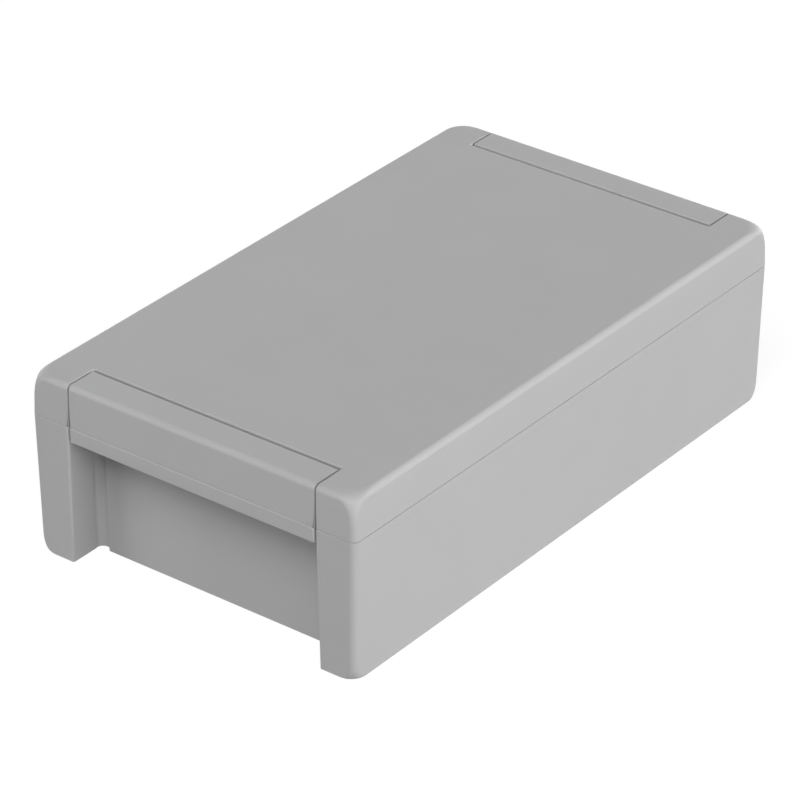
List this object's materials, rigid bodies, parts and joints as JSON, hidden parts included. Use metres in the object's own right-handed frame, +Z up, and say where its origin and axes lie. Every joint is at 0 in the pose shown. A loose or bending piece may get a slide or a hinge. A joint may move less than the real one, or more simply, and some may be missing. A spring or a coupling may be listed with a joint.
{
  "type": "enclosure",
  "caption": "Die-cast aluminium electronics enclosure: tub with corner posts and recessed ends, sealed lid held by captive screws under push-on cover strips.",
  "frame": {"origin": "centre of the bottom face", "axes": "+Z up through the lid, +Y along the length towards the rear end, +X to the right across the width; the end with the front strip is at -Y"},
  "size_m": [0.125, 0.2164, 0.0635],
  "materials": {
    "coat": "light grey powder coat, fine texture, satin to matt, on die-cast aluminium",
    "steel": "bright stainless",
    "seal": "matt foamed rubber cord",
    "nylon": "natural nylon"
  },
  "bodies": {
    "base": {"base": "coat", "earth_screw": "steel", "earth_tooth_washer": "steel", "earth_clamp_washer": "steel"},
    "lid": {"lid": "coat", "lid_seal": "seal", "screw_retainers": "nylon"},
    "front_strip": {"front_strip": "coat"},
    "rear_strip": {"rear_strip": "coat"},
    "lid_screw_front_left": {"lid_screw_front_left": "steel"},
    "lid_screw_front_right": {"lid_screw_front_right": "steel"},
    "lid_screw_rear_left": {"lid_screw_rear_left": "steel"},
    "lid_screw_rear_right": {"lid_screw_rear_right": "steel"}
  },
  "joints": [
    {"name": "lid_lift", "type": "slide", "parent": "base", "child": "lid", "axis": [0, 0, 1], "range_m": [0, 0.08]},
    {"name": "front_strip_pull", "type": "slide", "parent": "lid", "child": "front_strip", "axis": [0, 0, 1], "range_m": [0, 0.04]},
    {"name": "rear_strip_pull", "type": "slide", "parent": "lid", "child": "rear_strip", "axis": [0, 0, 1], "range_m": [0, 0.04]},
    {"name": "lid_screw_front_left_travel", "type": "slide", "parent": "lid", "child": "lid_screw_front_left", "axis": [0, 0, 1], "range_m": [0, 0.005]},
    {"name": "lid_screw_front_right_travel", "type": "slide", "parent": "lid", "child": "lid_screw_front_right", "axis": [0, 0, 1], "range_m": [0, 0.005]},
    {"name": "lid_screw_rear_left_travel", "type": "slide", "parent": "lid", "child": "lid_screw_rear_left", "axis": [0, 0, 1], "range_m": [0, 0.005]},
    {"name": "lid_screw_rear_right_travel", "type": "slide", "parent": "lid", "child": "lid_screw_rear_right", "axis": [0, 0, 1], "range_m": [0, 0.005]}
  ]
}
